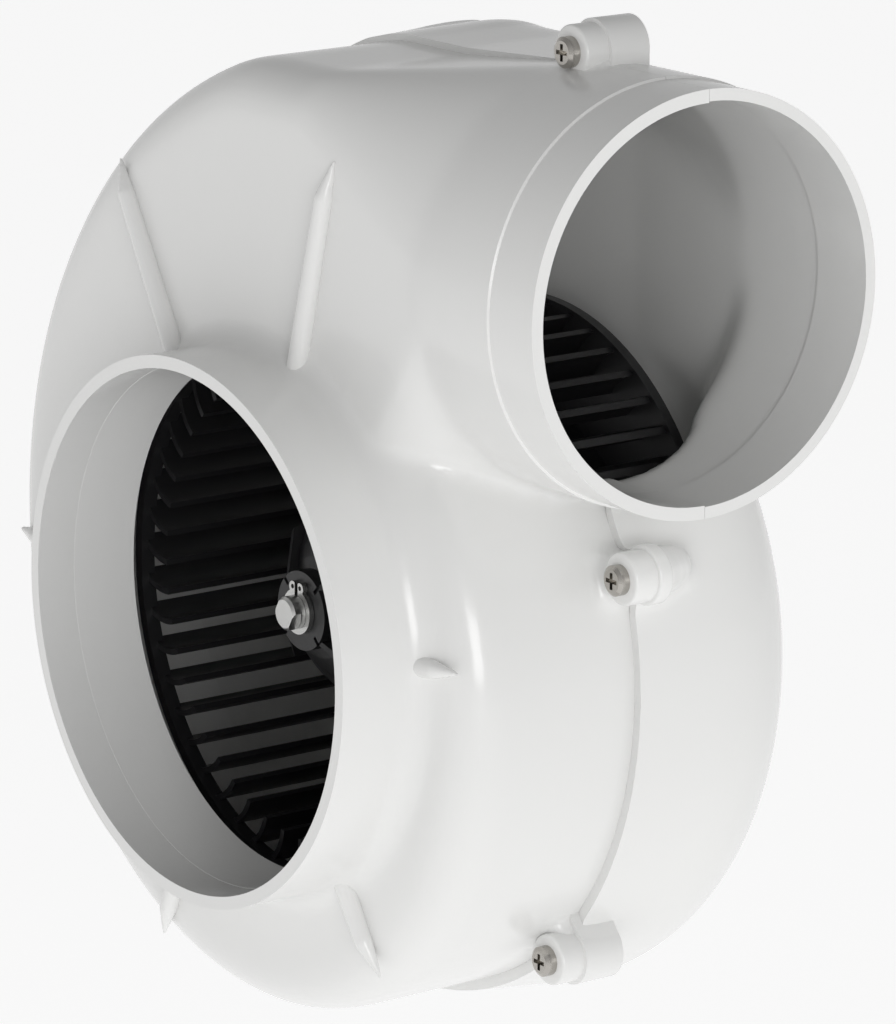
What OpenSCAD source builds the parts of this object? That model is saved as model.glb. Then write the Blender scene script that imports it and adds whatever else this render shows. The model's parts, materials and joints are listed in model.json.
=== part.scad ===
// Centrifugal DC blower: a two-shell plastic volute with a round inlet collar and a round
// outlet spout, a forward-curved drum impeller, and a brushed motor nested in its dished hub.
//
// Axes: +Y is the impeller axis, pointing from the inlet into the blower. +X is the way the
// air leaves the outlet, +Z is up. The origin is the centre of the inlet rim.

/* [Inlet] */
// Outside diameter of the inlet collar, a nominal 4 inch duct
inlet_od = 102; // [100:0.5:104]
// Wall of the inlet collar at its rim
inlet_wall = 1.8; // [1.6:0.1:2.2]
// Distance from the inlet rim to the front face of the volute
collar_len = 17.7; // [16:0.1:20]

/* [Outlet] */
// Outside diameter of the outlet spout, a nominal 3 inch duct
outlet_od = 76; // [74:0.5:77]
// Distance of the outlet rim from the impeller axis
outlet_reach = 82.6; // [80:0.1:95]
// Length of the spout's slimmer end, which takes the hose
hose_land = 10; // [6:0.5:14]

/* [Volute] */
// Depth of the volute from its front face to its back face
volute_depth = 72.4; // [70:0.1:74]
// Wall of the moulded shells
wall = 2.4; // [2:0.1:2.8]
// Height of the stiffening ribs on the front face
rib_height = 1.6; // [1:0.1:2.4]

/* [Impeller] */
// Outside diameter of the impeller drum
impeller_od = 105; // [102:0.5:106]
// Number of forward-curved blades
blade_count = 48; // [36:2:50]
// Thickness of one blade
blade_t = 1.1; // [0.9:0.1:1.4]

/* [Motor] */
// Outside diameter of the motor can
motor_od = 45; // [44:0.5:46]
// Diameter of the motor shaft
shaft_d = 6.35; // [6:0.05:6.5]

/* [Mounting] */
// Spacing of the rear mounting inserts across the blower
mount_w = 50; // [46:1:54]
// Spacing of the rear mounting inserts up the blower
mount_h = 88; // [84:1:92]
// Bore of the mounting inserts
mount_hole_d = 5; // [4:0.5:5.5]

/* [Hidden] */

$fn = 96;
coarse = 32;

// Stations along the impeller axis
face_y = collar_len;
seam_y = face_y + 37.5;
back_y = face_y + volute_depth;
mount_y = back_y + 23.9;

// The scroll wall is four arcs, each tangent to the next where they meet. A row is the x and
// z of the arc's centre, its radius, its start and its sweep, in degrees clockwise as seen
// from the inlet.
tongue_sweep = 40;
scroll_arcs = [
    [0, -6.9, 63.9, -tongue_sweep, tongue_sweep],
    [-7, -6.9, 70.9, 0, 90],
    [-7, 3, 80.8, 90, 90],
    [12.8, 3, 100.6, 180, 90]
];
last_arc = scroll_arcs[3];
core_x = last_arc[0];
middle_z = -2;
middle_r = 15;
chamber_r = 59.5;
chamber_a = -100;
chamber_sweep = 84;
overlap = 0.04;

// Section of the scroll wall
front_step = 1.5;
front_fillet = 9.4;
rear_fillet = 19.7;
rear_lip = 0.8;
bulge = 3.5;
wide_y = back_y - rear_fillet;
bulge_r = ((bulge - rear_lip) ^ 2 + (wide_y - seam_y) ^ 2) / (2 * (bulge - rear_lip));
lap = 1.9;
lap_gap = 0.1;
rear_wall = wall + 0.6;

// Outlet spout
outlet_z = 68.1;
outlet_r = outlet_od / 2;
spout_x = 50;
spout_step = 0.45;
loft_t = 0.5;
lap_r = outlet_r - wall / 2;

// Inlet collar
inlet_r = inlet_od / 2;
inlet_draft = 0.9;
collar_fillet = 4;
lip_y = face_y + 3.4;

// Stiffening ribs on the front face: angle from +X towards +Z, and radius of the outer end
face_ribs = [[3, 61], [75, 92], [120, 91], [180, 83], [244, 78], [302, 70]];
rib_w = 3.4;

// Housing lugs: x and z of the screw, and the angle from the screw towards the shell
lug_sites = [
    [51.8, 109, 270], [67, 16.8, 190], [46.3, -59.6, 130],
    [-49, -70.6, 57], [-92.6, -6, 0], [-64.4, 76.4, 311]
];
lug_r = 4.8;
web_share = 0.85;
lug_lip = 0.7;
lug_y = 48.8;
lug_end_y = 62;
lug_tail = 14;
screw_r = 1.5;
screw_end_y = 63;

// Impeller
impeller_r = impeller_od / 2;
blade_in_r = 44;
blade_arc_r = 10;
drum_y = 24.4;
plate_y = 81;
plate_t = 2;
ring_h = 3;
ring_t = 2;
hub_y = 26.5;
hub_end_y = 49;
hub_r = 7.5;
dome_y = 27.9;
dome_h = plate_y + plate_t - dome_y;
dome_r = 31.9;
dome_t = 2;
dome_steps = 14;
gusset_reach = 17;
bush_r = 5;

// Motor
shaft_r = shaft_d / 2;
shaft_y = 22.6;
shaft_end_y = 109;
can_r = motor_od / 2;
can_t = 1.6;
can_in_r = can_r - can_t;
can_y = 58;
can_end_y = 102;
bell_t = 2.4;
boss_r = 8;
bearing_r = 5.5;
bearing_w = 5;
run_gap = 0.03;
armature_r = 17;
armature_y = 64;
armature_h = 26;
slot_count = 10;
magnet_t = 3.2;
comm_r = 7;
comm_y = 92.2;
comm_h = 6;
bolt_r = 1.5;
bolt_at = 19.2;

// Motor seat on the back of the rear shell
seat_r = 35;
seat_hole_r = can_r + 0.7;
seat_y = back_y + 3.9;
gasket_t = 1.2;
flange_t = 1.8;
flange_at = 29.5;

// Rear mounting bosses
mount_x = -35;
mount_boss_r = 6.5;
insert_r = 3.6;
insert_h = 12;

function polar(r, a) = [r * cos(a), r * sin(a)];

// Radius of the impeller's dome at a fraction t of its depth
function dome_at(t, r) = r * sqrt(1 - (1 - t) ^ 2);

// A piece turned about the impeller axis, starting at distance y from the inlet rim.
// Angles then run clockwise as seen from the inlet.
module along_y(y = 0) {
    translate([0, y, 0]) rotate([-90, 0, 0]) children();
}

// A place at radius r and angle a on the impeller axis, with +X pointing outwards
module around_y(r, a, y = 0) {
    rotate([0, -a, 0]) translate([r, y, 0]) children();
}

module slice_y(y0, y1) {
    intersection() {
        children();
        translate([-200, y0, -200]) cube([400, y1 - y0, 400]);
    }
}

module ring(r_out, r_in, h) {
    difference() {
        cylinder(h = h, r = r_out);
        translate([0, 0, -1]) cylinder(h = h + 2, r = r_in);
    }
}

module ring_2d(r_out, r_in) {
    difference() {
        circle(r = r_out);
        circle(r = r_in);
    }
}

// Front half of the wall's section, radius along X and depth along Y, moved out by grow
module front_section(grow, y_end) {
    r = $arc_r - front_step + grow;
    fillet = front_fillet + grow;
    y0 = face_y - grow;
    translate([0, y0]) square([r - fillet, y_end - y0]);
    translate([0, y0 + fillet]) square([r, y_end - y0 - fillet]);
    translate([r - fillet, y0 + fillet]) circle(r = fillet);
}

// Points of an arc about c, from angle a0 to a1
function arc_points(c, r, a0, a1, n) =
    [for (i = [0:n]) c + polar(r, a0 + (a1 - a0) * i / n)];

// Rear half of the wall's section: a slight bulge, then a large rounded corner
module rear_section(grow, y_start) {
    r = bulge_r + grow;
    middle = [$arc_r + bulge - bulge_r, wide_y];
    start_a = -asin(min(1, (wide_y - y_start) / r));
    polygon(concat(
        [[0, y_start]],
        arc_points(middle, r, start_a, 0, 5),
        arc_points([$arc_r + bulge - rear_fillet, wide_y], rear_fillet + grow, 9, 90, 9),
        [[0, back_y + grow]]
    ));
}

// Square-edged section from depth y0 to y1, for the band where the shells lap
module lap_section(grow, y0, y1) {
    translate([0, y0]) square([$arc_r - front_step + grow, y1 - y0]);
}

// The scroll: the section in children() swept along the four arcs, over depths y0 to y1
module scroll(y0, y1) {
    for (arc = scroll_arcs) {
        translate([arc[0], 0, arc[1]]) along_y() mirror([0, arc[3] < 0 ? 1 : 0, 0])
            rotate([0, 0, max(0, arc[3])]) rotate_extrude(angle = arc[4])
                let ($arc_r = arc[2]) children();
    }
    translate([0, 0, middle_z]) along_y(y0 + overlap)
        cylinder(h = y1 - y0 - 2 * overlap, r = middle_r);
}

// The wall round the impeller from the tongue to the top of the outlet
module chamber() {
    translate([0, overlap, 0]) along_y() rotate([0, 0, chamber_a])
        rotate_extrude(angle = chamber_sweep) let ($arc_r = chamber_r) children();
}

// The outlet: a loft from the end of the scroll to a circle, then the round spout, which is
// wider by step up to the hose land
module outlet_form(spout_r, x_end, step = 0) {
    hull() {
        translate([core_x + loft_t / 2, 0, last_arc[1]]) rotate([0, -90, 0])
            linear_extrude(loft_t) let ($arc_r = last_arc[2], $fn = coarse) children();
        translate([spout_x, seam_y, outlet_z]) rotate([0, 90, 0])
            cylinder(h = loft_t, r = spout_r, $fn = 2 * coarse);
    }
    translate([spout_x, seam_y, outlet_z]) rotate([90, 0, 0]) rotate([0, 90, 0])
        rotate_extrude() polygon([
            [0, step / 2], [spout_r + step, step / 2],
            [spout_r + step, x_end - hose_land - spout_x - step],
            [spout_r, x_end - hose_land - spout_x], [spout_r, x_end - spout_x],
            [0, x_end - spout_x]
        ]);
}

// Solid form of the front half, moved out by grow, up to depth y_end
module front_form(grow, spout_r, y_end, x_end = outlet_reach, step = 0) {
    scroll(face_y - grow, y_end) front_section(grow, y_end);
    chamber() front_section(grow, y_end - 2 * overlap);
    slice_y(face_y - 9, y_end) union() outlet_form(spout_r, x_end, step)
        front_section(grow - overlap, y_end);
}

// Solid form of the rear half, moved out by grow, from depth y_start
module rear_form(grow, spout_r, y_start, x_end = outlet_reach, step = 0) {
    scroll(y_start, back_y + grow) rear_section(grow, y_start);
    slice_y(y_start, back_y + 9) union() {
        chamber() rear_section(grow - 2 * overlap, y_start - 1);
        outlet_form(spout_r, x_end, step) rear_section(grow - overlap, y_start);
    }
}

// Form of the band where the shells lap, from depth y0 to y1
module lap_form(grow, y0, y1) {
    scroll(y0, y1) lap_section(grow, y0, y1);
    slice_y(y0, y1) union() {
        chamber() lap_section(grow, y0 - 1, y1 + 1);
        outlet_form(lap_r + grow, outlet_reach) lap_section(grow - overlap, y0, y1);
    }
}

// Boss round one housing screw, with a web that ties it to the shell and a fading tail
module lug(site, r, y0, y1, lead = 0, tail = 0) {
    translate([site[0], 0, site[1]]) along_y() {
        rotate_extrude() polygon([[0, y0], [r, y0], [r, y1], [r / 3, y1 + tail], [0, y1 + tail]]);
        rotate([0, 0, -site[2]]) translate([r / 2, -web_share * r, y0 + lead])
            cube([r / 2 + 6, 2 * web_share * r, y1 - y0 - lead - (tail > 0 ? 0.3 : 0)]);
    }
}

module screw_holes(r, y0, y1) {
    for (site = lug_sites) {
        translate([site[0], 0, site[1]]) along_y(y0) cylinder(h = y1 - y0, r = r);
    }
}

// Low rib from the collar out across the front face, fading at its outer end
module face_rib(a, r_end) {
    translate([0, face_y, 0]) rotate([0, -a, 0]) translate([0, 0, -rib_w / 2])
        linear_extrude(rib_w)
            polygon([
                [inlet_r - 1, 2], [inlet_r - 1, -rib_height - 1.2],
                [inlet_r + 3, -rib_height], [r_end, 0], [r_end, 2]
            ]);
}

// Inlet collar with a filleted foot and a lip that leads the air into the drum
module collar() {
    fillet_y = face_y - collar_fillet + 0.15;
    along_y() rotate_extrude() polygon(concat(
        [[0, 0], [inlet_r, 0]],
        arc_points([inlet_r + collar_fillet, fillet_y], collar_fillet, 180, 98, 7),
        [[inlet_r + collar_fillet - 0.6, face_y + wall / 3], [inlet_r + 2.6, lip_y],
            [inlet_r - 3, lip_y - 0.4], [0, face_y + wall / 2]]
    ));
}

module front_housing() {
    color("whitesmoke") difference() {
        union() {
            difference() {
                union() {
                    front_form(0, outlet_r, seam_y, step = spout_step);
                    lap_form(0, seam_y - 1, seam_y + lap);
                    for (site = lug_sites) lug(site, lug_r, lug_y, seam_y, lead = 0.4);
                }
                front_form(-wall, outlet_r - wall, seam_y + lap + 1, outlet_reach + 1);
            }
            collar();
            for (rib = face_ribs) face_rib(rib[0], rib[1]);
        }
        along_y(-1) cylinder(
            h = lip_y + 2, r1 = inlet_r - inlet_wall, r2 = inlet_r - inlet_wall + inlet_draft);
        screw_holes(screw_r + 0.2, lug_y - 1, seam_y + 1);
    }
}

// One piece at each corner of the rear mounting rectangle, starting at distance y
module each_mount(y) {
    for (x = [-1, 1], z = [-1, 1]) {
        translate([mount_x + x * mount_w / 2, 0, z * mount_h / 2]) along_y(y) children();
    }
}

module rear_housing() {
    color("whitesmoke") difference() {
        union() {
            rear_form(0, outlet_r, seam_y, step = spout_step);
            for (site = lug_sites) lug(site, lug_r + lug_lip, seam_y, lug_end_y, tail = lug_tail);
            each_mount(wide_y) cylinder(h = mount_y - wide_y, r = mount_boss_r);
            along_y(back_y - 1) cylinder(h = seat_y - back_y + 1, r = seat_r);
        }
        rear_form(-rear_wall, outlet_r - wall, seam_y + lap, outlet_reach + 1);
        lap_form(lap_gap, seam_y - 1, seam_y + lap + lap_gap);
        along_y(back_y - 5) cylinder(h = 12, r = seat_hole_r);
        screw_holes(screw_r, seam_y - 1, screw_end_y + 1);
        each_mount(mount_y - insert_h) cylinder(h = insert_h + 1, r = insert_r);
        for (i = [0:2]) {
            around_y(flange_at, 60 + 120 * i) along_y(seat_y - 5) cylinder(h = 6, r = screw_r);
        }
    }
}

// Thread-forming pan-head screw with a cross recess; the head's underside is at y = 0
module pan_screw(head_r, head_h, r, length) {
    recess_w = head_r * 0.28;
    along_y(-head_h) difference() {
        union() {
            intersection() {
                cylinder(h = head_h, r = head_r);
                translate([0, 0, head_r * 1.3]) sphere(r = head_r * 1.5);
            }
            translate([0, 0, head_h]) cylinder(h = length, r = r);
            translate([0, 0, head_h + length]) cylinder(h = r, r1 = r, r2 = r / 3);
        }
        for (a = [0, 90]) {
            rotate([0, 0, a]) translate([-head_r * 0.55, -recess_w / 2, -1])
                cube([head_r * 1.1, recess_w, 1 + head_h * 0.65]);
        }
    }
}

module housing_screws() {
    color("silver") for (site = lug_sites) {
        translate([site[0], lug_y, site[1]])
            pan_screw(head_r = 2.8, head_h = 2.1, r = screw_r - run_gap, length = 12);
    }
}

module mounting_inserts() {
    color("goldenrod") each_mount(mount_y - insert_h) ring(insert_r, mount_hole_d / 2, insert_h);
}

// One forward-curved blade in section: a band of an arc that leans into the rotation
module blade_section() {
    intersection() {
        translate([blade_in_r, blade_arc_r])
            ring_2d(blade_arc_r + blade_t / 2, blade_arc_r - blade_t / 2);
        translate([blade_in_r, -2]) square([impeller_r, blade_arc_r - 1]);
        circle(r = impeller_r - ring_t / 2);
    }
}

module blades() {
    linear_extrude(plate_y + plate_t / 2 - drum_y - ring_h / 2) {
        for (i = [0:blade_count - 1]) rotate([0, 0, i * 360 / blade_count]) blade_section();
    }
}

// Half section of the dished hub plate, from the hub out to the foot of the dome
module dome_section() {
    steps = [for (i = [1:dome_steps]) (i / dome_steps) ^ 2];
    outside = [for (t = steps) [dome_at(t, dome_r), dome_h * t]];
    inside = [for (t = steps) [dome_at(t, dome_r - dome_t), dome_t + (dome_h - dome_t) * t]];
    polygon(concat([[0, 0]], outside, [for (i = [dome_steps - 1:-1:0]) inside[i]], [[0, dome_t]]));
}

module hub_gusset() {
    rise = dome_y - hub_y;
    rotate([90, 0, 0]) translate([0, 0, -0.6]) linear_extrude(1.2)
        polygon([[hub_r - 2, 0.6], [hub_r, 0.6], [gusset_reach, rise + 5.2],
            [gusset_reach, rise + 9], [hub_r - 2, rise + 3]]);
}

module impeller() {
    color("#1b1b1d") difference() {
        union() {
            along_y(drum_y + ring_h / 2) blades();
            along_y(drum_y) ring(impeller_r, impeller_r - ring_t, ring_h);
            along_y(plate_y) ring(impeller_r, dome_r - dome_t - 1, plate_t);
            along_y(dome_y) rotate_extrude() dome_section();
            along_y(hub_y) cylinder(h = hub_end_y - hub_y, r = hub_r);
            for (a = [45:90:315]) along_y(hub_y) rotate([0, 0, a]) hub_gusset();
        }
        along_y(hub_y - 1) cylinder(h = 3, r = shaft_r + 0.4);
        along_y(hub_y + 1) cylinder(h = hub_end_y, r = bush_r);
        for (a = [45:90:315]) {
            along_y(hub_y - 1) rotate([0, 0, a]) translate([hub_r - 1.6, -0.4, 0]) cube([2.4, 0.8, 1.6]);
        }
    }
}

module hub_bush() {
    color("darkgoldenrod") along_y(hub_y + 1) ring(bush_r, shaft_r, hub_end_y - hub_y - 1);
}

// Eared snap ring in the groove at the end of the shaft
module retaining_ring() {
    color("gainsboro") along_y(hub_y - 1.1) linear_extrude(1) difference() {
        union() {
            circle(r = shaft_r + 1.1);
            for (a = [-104, -76]) rotate([0, 0, a]) translate([shaft_r + 1.5, 0]) circle(r = 1.1);
        }
        circle(r = shaft_r - 0.3);
        for (a = [-104, -76]) rotate([0, 0, a]) translate([shaft_r + 1.6, 0]) circle(r = 0.45);
        translate([-0.5, -shaft_r - 4]) square([1, 5]);
    }
}

module motor_shaft() {
    chamfer = 0.5;
    color("silver") difference() {
        union() {
            along_y(shaft_y + chamfer) cylinder(h = shaft_end_y - shaft_y - chamfer, r = shaft_r);
            along_y(shaft_y) cylinder(h = chamfer, r1 = shaft_r - chamfer, r2 = shaft_r);
        }
        along_y(hub_y - 1.15) ring(shaft_r + 1, shaft_r - 0.35, 1.1);
        for (a = [30, 210]) {
            along_y(shaft_y - 1) rotate([0, 0, a]) translate([shaft_r - 0.7, -4, 0])
                cube([4, 8, hub_y - 2.2 - shaft_y + 1]);
        }
    }
}

module motor_can() {
    color("dimgray") along_y(can_y) ring(can_r, can_in_r, can_end_y - can_y);
}

// Cap that closes one end of the can, with a bearing seat in its boss
module end_bell(boss_h) {
    difference() {
        union() {
            cylinder(h = bell_t, r = can_r);
            translate([0, 0, bell_t]) cylinder(h = 2, r = can_in_r);
            translate([0, 0, -boss_h]) cylinder(h = boss_h + bell_t + 3.6, r = boss_r);
        }
        translate([0, 0, -boss_h - 1]) cylinder(h = boss_h + 20, r = shaft_r + 0.8);
        translate([0, 0, 1]) cylinder(h = 20, r = bearing_r);
        for (s = [-1, 1]) {
            translate([0, s * bolt_at, -1]) cylinder(h = bell_t + 4, r = bolt_r + 0.1);
        }
    }
}

module front_end_bell() {
    color("lightslategray") along_y(can_y - bell_t) end_bell(1.4);
}

module rear_end_bell() {
    tab_slot_w = 6.8;
    color("darkslategray") difference() {
        along_y(can_end_y + bell_t) mirror([0, 0, 1]) end_bell(5);
        for (s = [-1, 1]) {
            translate([s * 14 - 0.6, can_end_y - 3, -tab_slot_w / 2]) cube([1.2, 8, tab_slot_w]);
        }
    }
}

module bearing(y) {
    along_y(y) ring(bearing_r, shaft_r + run_gap, bearing_w);
}

module front_bearing() {
    color("silver") bearing(can_y - bell_t + 1);
}

module rear_bearing() {
    color("silver") bearing(can_end_y + bell_t - 1 - bearing_w);
}

// Two arc magnets that line the can
module motor_magnets() {
    color("darkslategray") for (a = [0, 180]) {
        along_y(armature_y) rotate([0, 0, a - 62]) rotate_extrude(angle = 124)
            translate([can_in_r - magnet_t, 0]) square([magnet_t, armature_h]);
    }
}

module slot_section() {
    translate([9, -1.6]) square([5.4, 3.2]);
    translate([14, -0.8]) square([4, 1.6]);
}

module armature_core() {
    color("slategray") along_y(armature_y + 1) linear_extrude(armature_h - 2) difference() {
        ring_2d(armature_r, shaft_r);
        for (i = [0:slot_count - 1]) rotate([0, 0, i * 360 / slot_count]) slot_section();
    }
}

module armature_windings() {
    end_turn_h = 2.6;
    color("peru") union() {
        for (i = [0:slot_count - 1]) {
            along_y(armature_y + 0.9) rotate([0, 0, i * 360 / slot_count])
                translate([9.2, -1.4, 0]) cube([4.8, 2.8, armature_h - 1.8]);
        }
        for (y = [armature_y + 1 - end_turn_h, armature_y + armature_h - 1]) along_y(y) ring(14.6, 8.4, end_turn_h);
    }
}

module commutator() {
    color("peru") along_y(comm_y) difference() {
        ring(comm_r, shaft_r, comm_h);
        for (i = [0:slot_count - 1]) {
            rotate([0, 0, i * 360 / slot_count]) translate([comm_r - 1, -0.2, -1]) cube([2, 0.4, comm_h + 2]);
        }
    }
}

module thrust_washers() {
    color("ivory") for (y = [can_y + 3.8, comm_y - 3]) along_y(y) ring(bearing_r, shaft_r, 0.8);
}

// A piece repeated on each side of the commutator, at radius r
module each_brush(r) {
    for (s = [0, 180]) rotate([0, s, 0]) translate([r, comm_y + comm_h / 2, 0]) children();
}

module brush_holders() {
    foot_h = can_end_y - 2 - comm_y - comm_h / 2;
    color("gold") each_brush(comm_r + 1.4) difference() {
        union() {
            translate([0, -2.5, -3]) cube([10, 5, 6]);
            translate([3, 0, -2.8]) cube([4, foot_h, 5.6]);
        }
        translate([-1, -1.9, -2.4]) cube([12, 3.8, 4.8]);
    }
}

module carbon_brushes() {
    color("#303030") each_brush(comm_r + 0.1) translate([0, -1.85, -2.35]) cube([6, 3.7, 4.7]);
}

module brush_springs() {
    color("silver") each_brush(comm_r + 6.1) rotate([0, 90, 0]) difference() {
        cylinder(h = 5, r = 1.6);
        translate([0, 0, -1]) cylinder(h = 7, r = 1.1);
    }
}

// Spade tabs for the two supply leads
module terminals() {
    tab_w = 6.3;
    color("gold") for (s = [-1, 1]) {
        translate([s * 14 - 0.4, can_end_y - 2, -tab_w / 2]) difference() {
            cube([0.8, 12.2, tab_w]);
            translate([-1, 10, tab_w / 2]) rotate([0, 90, 0]) cylinder(h = 3, r = 0.8);
        }
    }
}

module through_bolts() {
    color("silver") for (s = [-1, 1]) {
        translate([0, 0, s * bolt_at]) {
            along_y(can_y - bell_t - 1.8) cylinder(h = 1.8, r = 2.6);
            along_y(can_y - bell_t) cylinder(h = can_end_y - can_y + 2 * bell_t + 3, r = bolt_r);
            along_y(can_end_y + bell_t) cylinder(h = 2.2, r = 3, $fn = 6);
        }
    }
}

// A flat ring with the three screw holes of the motor seat
module seat_ring(r_in, h) {
    difference() {
        ring(seat_r - 0.5, r_in, h);
        for (i = [0:2]) {
            rotate([0, 0, 60 + 120 * i]) translate([flange_at, 0, -1]) cylinder(h = h + 2, r = screw_r + 0.2);
        }
    }
}

module motor_flange() {
    color("silver") along_y(seat_y + gasket_t) seat_ring(can_r, flange_t);
}

module flange_gasket() {
    color("#2a2a2a") along_y(seat_y) seat_ring(seat_hole_r, gasket_t);
}

module flange_screws() {
    color("silver") for (i = [0:2]) {
        around_y(flange_at, 60 + 120 * i, seat_y + gasket_t + flange_t) rotate([180, 0, 0])
            pan_screw(head_r = 2.8, head_h = 2.1, r = screw_r - run_gap, length = 6);
    }
}

front_housing();
rear_housing();
housing_screws();
mounting_inserts();
impeller();
hub_bush();
retaining_ring();
motor_shaft();
motor_can();
front_end_bell();
rear_end_bell();
motor_magnets();
front_bearing();
rear_bearing();
armature_core();
armature_windings();
commutator();
thrust_washers();
brush_holders();
carbon_brushes();
brush_springs();
terminals();
through_bolts();
motor_flange();
flange_gasket();
flange_screws();
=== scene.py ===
"""Look of a scroll-cased centrifugal blower: moulded shells, finishes, light and camera.

Meshes are in metres, and the size classes are in millimetres, in the part's own frame. +Y is
the impeller axis, pointing from the inlet into the blower, +X is the way the air leaves and +Z
is up. The origin is the centre of the inlet rim.
"""

from __future__ import annotations

import json
import logging
import math
from contextlib import contextmanager
from dataclasses import dataclass, field
from enum import Enum
from typing import Callable, Iterator, Sequence

import bpy
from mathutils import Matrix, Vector

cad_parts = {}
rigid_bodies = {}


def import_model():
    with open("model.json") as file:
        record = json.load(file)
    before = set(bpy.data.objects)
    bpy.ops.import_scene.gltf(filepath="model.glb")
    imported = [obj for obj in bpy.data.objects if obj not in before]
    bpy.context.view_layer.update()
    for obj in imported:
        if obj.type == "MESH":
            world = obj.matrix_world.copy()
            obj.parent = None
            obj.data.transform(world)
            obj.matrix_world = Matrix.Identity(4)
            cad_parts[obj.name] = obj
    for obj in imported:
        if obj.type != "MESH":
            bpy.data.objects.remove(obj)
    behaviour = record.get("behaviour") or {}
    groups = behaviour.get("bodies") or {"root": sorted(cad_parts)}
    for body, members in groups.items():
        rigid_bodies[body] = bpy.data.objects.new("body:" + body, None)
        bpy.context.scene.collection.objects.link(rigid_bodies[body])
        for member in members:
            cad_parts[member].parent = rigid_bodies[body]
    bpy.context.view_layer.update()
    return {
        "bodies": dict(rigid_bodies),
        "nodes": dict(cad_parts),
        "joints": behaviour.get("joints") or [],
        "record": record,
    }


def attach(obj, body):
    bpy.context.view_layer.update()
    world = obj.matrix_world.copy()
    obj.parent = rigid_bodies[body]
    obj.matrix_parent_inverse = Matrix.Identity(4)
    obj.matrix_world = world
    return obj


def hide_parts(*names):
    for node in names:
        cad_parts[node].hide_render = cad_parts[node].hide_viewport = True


log = logging.getLogger("blower")

MM = 0.001
NEAR = 0.01 * MM  # Vertices this close are one, in metres
OVERLAP = 1.0  # How far solids that are joined or cut reach past each other, in millimetres
CORNER = 1.0  # How far a corner of a section reaches, in millimetres
STEP_ANGLE = 2.5  # The turn of one step of a swept arc, in degrees
FEWEST_STEPS = 8
TUBE_SIDES = 128
BOSS_SIDES = 64
TAIL_SIDES = 48
RIB_SIDES = 24


class Half(Enum):
    """The two moulded shells of the housing."""

    FRONT = "front"
    REAR = "rear"


@dataclass(frozen=True)
class Arc:
    """One arc of the scroll wall, seen from the inlet with angles clockwise from +X.

    The bulge is how far the rear shell swells past the arc's radius.
    """

    x: float
    z: float
    radius: float
    start: float
    sweep: float
    bulge: float = 3.5


@dataclass(frozen=True)
class Lug:
    """A screw lug on the seam: its place and the angle from it towards the shell.

    A faired lug is shorter at the back, and a tail leads it into the rear shell.
    """

    x: float
    z: float
    inward: float
    faired: bool = False

    def towards(self) -> Vector:
        """Returns the unit vector from the screw towards the shell."""
        turn = math.radians(self.inward)
        return Vector((math.cos(turn), 0, -math.sin(turn)))


@dataclass(frozen=True)
class Rib:
    """A rib on the front face: its direction from +X towards +Z, and its outer radius."""

    angle: float
    reach: float


@dataclass(frozen=True)
class VoluteSizes:
    """Sizes that both shells share, in millimetres."""

    arcs: tuple[Arc, ...] = (
        Arc(0, -6.9, 63.9, -40, 40),
        Arc(-7, -6.9, 70.9, 0, 90),
        Arc(-7, 3, 80.8, 90, 90),
        Arc(12.8, 3, 100.6, 180, 30),
        Arc(20.1, -1.2, 109, 210, 40, 2.2),
        Arc(-3.8, 64.3, 39.3, 250, 20, 1.0),
    )
    duct: Arc = Arc(12.8, 3, 100.6, 270, 0, 0.6)
    duct_x: float = -3.8
    chamber: Arc = Arc(0, 0, 59.5, -104, 70)
    lugs: tuple[Lug, ...] = (
        Lug(51.8, 109, 90),
        Lug(67, 16.8, 170, True),
        Lug(46.3, -59.6, 230),
        Lug(-49, -70.6, 303),
        Lug(-92.6, -6, 0),
        Lug(-64.4, 76.4, 49),
    )
    ribs: tuple[Rib, ...] = (
        Rib(3, 61), Rib(75, 92), Rib(120, 91), Rib(180, 83), Rib(244, 78), Rib(302, 70),
    )
    face_y: float = 17.7
    seam_y: float = 55.2
    back_y: float = 96.4
    front_step: float = 1.1
    front_fillet: float = 9.4
    rear_fillet: float = 19.7
    inlet_r: float = 51.0
    outlet_r: float = 38.0
    outlet_z: float = 68.1
    outlet_x: float = 82.6
    loft_x: float = 50.0
    step_x: float = 70.4
    spout_step: float = 0.45
    wall: float = 2.4


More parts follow.
